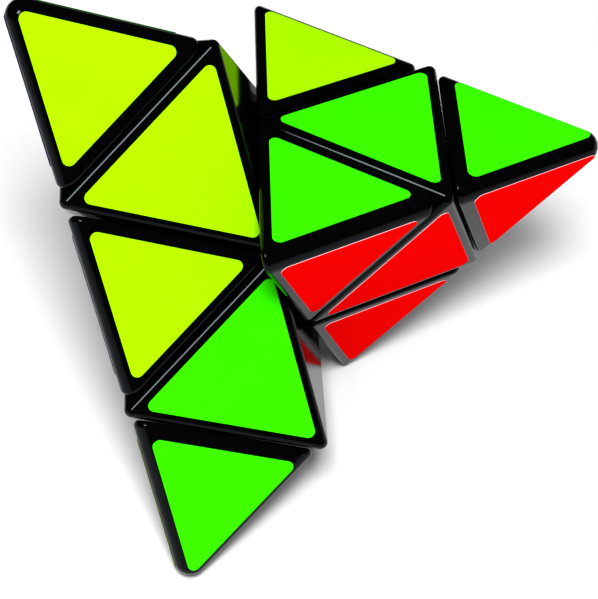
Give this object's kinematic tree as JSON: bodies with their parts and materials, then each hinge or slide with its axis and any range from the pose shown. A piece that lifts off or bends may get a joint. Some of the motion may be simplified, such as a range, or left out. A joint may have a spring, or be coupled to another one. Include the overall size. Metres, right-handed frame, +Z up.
{
  "type": "pyramid twisty puzzle",
  "caption": "Tetrahedral twisty puzzle with turning corners, loose tips and coloured triangular stickers on glossy black plastic.",
  "frame": {"origin": "middle of the bounding box in plan, on the surface that the puzzle rests on", "axes": "+X level, towards the corner whose layer has turned; +Y level, from the front corner to the back corner, along the edge that the puzzle rests on; +Z up"},
  "size_m": [0.0938, 0.1, 0.0847],
  "materials": {
    "body_plastic": "moulded, polished, black",
    "core_plastic": "moulded, natural",
    "screw_steel": "zinc plated",
    "spring_steel": "drawn wire",
    "sticker_yellow": "vinyl film, semi-gloss, yellow with a green cast",
    "sticker_green": "vinyl film, semi-gloss, bright green",
    "sticker_red": "vinyl film, semi-gloss, bright red",
    "sticker_blue": "vinyl film, semi-gloss, blue"
  },
  "bodies": {
    "body": {"core_spider": "core_plastic", "screw_right": "screw_steel", "spring_right": "spring_steel", "centre_top": "body_plastic", "screw_top": "screw_steel", "spring_top": "spring_steel", "sticker_centre_top_blue": "sticker_blue", "sticker_centre_top_green": "sticker_green", "sticker_centre_top_yellow": "sticker_yellow", "centre_front": "body_plastic", "screw_front": "screw_steel", "spring_front": "spring_steel", "sticker_centre_front_yellow": "sticker_yellow", "sticker_centre_front_red": "sticker_red", "sticker_centre_front_green": "sticker_green", "centre_back": "body_plastic", "screw_back": "screw_steel", "spring_back": "spring_steel", "sticker_centre_back_yellow": "sticker_yellow", "sticker_centre_back_red": "sticker_red", "sticker_centre_back_blue": "sticker_blue", "edge_top_front": "body_plastic", "sticker_edge_top_front_blue": "sticker_blue", "sticker_edge_top_front_yellow": "sticker_yellow", "edge_top_back": "body_plastic", "sticker_edge_top_back_blue": "sticker_blue", "sticker_edge_top_back_green": "sticker_green", "edge_front_back": "body_plastic", "sticker_edge_front_back_yellow": "sticker_yellow", "sticker_edge_front_back_red": "sticker_red"},
    "right_layer": {"centre_right": "body_plastic", "sticker_centre_right_red": "sticker_red", "sticker_centre_right_blue": "sticker_blue", "sticker_centre_right_green": "sticker_green", "edge_right_top": "body_plastic", "sticker_edge_right_top_green": "sticker_green", "sticker_edge_right_top_yellow": "sticker_yellow", "edge_right_front": "body_plastic", "sticker_edge_right_front_red": "sticker_red", "sticker_edge_right_front_green": "sticker_green", "edge_right_back": "body_plastic", "sticker_edge_right_back_red": "sticker_red", "sticker_edge_right_back_blue": "sticker_blue"},
    "tip_right": {"tip_right": "body_plastic", "sticker_tip_right_red": "sticker_red", "sticker_tip_right_blue": "sticker_blue", "sticker_tip_right_green": "sticker_green"},
    "tip_top": {"tip_top": "body_plastic", "sticker_tip_top_blue": "sticker_blue", "sticker_tip_top_green": "sticker_green", "sticker_tip_top_yellow": "sticker_yellow"},
    "tip_front": {"tip_front": "body_plastic", "sticker_tip_front_yellow": "sticker_yellow", "sticker_tip_front_red": "sticker_red", "sticker_tip_front_green": "sticker_green"},
    "tip_back": {"tip_back": "body_plastic", "sticker_tip_back_yellow": "sticker_yellow", "sticker_tip_back_red": "sticker_red", "sticker_tip_back_blue": "sticker_blue"}
  },
  "joints": [
    {"name": "right_layer_turn", "type": "hinge", "parent": "body", "child": "right_layer", "pos_m": [-0.01162, 0, 0.03439], "axis": [0.9686, 0, 0.2486], "continuous": true},
    {"name": "tip_right_turn", "type": "hinge", "parent": "right_layer", "child": "tip_right", "pos_m": [-0.01162, 0, 0.03439], "axis": [0.9686, 0, 0.2486], "continuous": true},
    {"name": "tip_top_turn", "type": "hinge", "parent": "body", "child": "tip_top", "pos_m": [-0.01162, 0, 0.03439], "axis": [-0.5572, 0, 0.8304], "continuous": true},
    {"name": "tip_front_turn", "type": "hinge", "parent": "body", "child": "tip_front", "pos_m": [-0.01162, 0, 0.03439], "axis": [-0.2057, -0.8165, -0.5395], "continuous": true},
    {"name": "tip_back_turn", "type": "hinge", "parent": "body", "child": "tip_back", "pos_m": [-0.01162, 0, 0.03439], "axis": [-0.2057, 0.8165, -0.5395], "continuous": true}
  ]
}
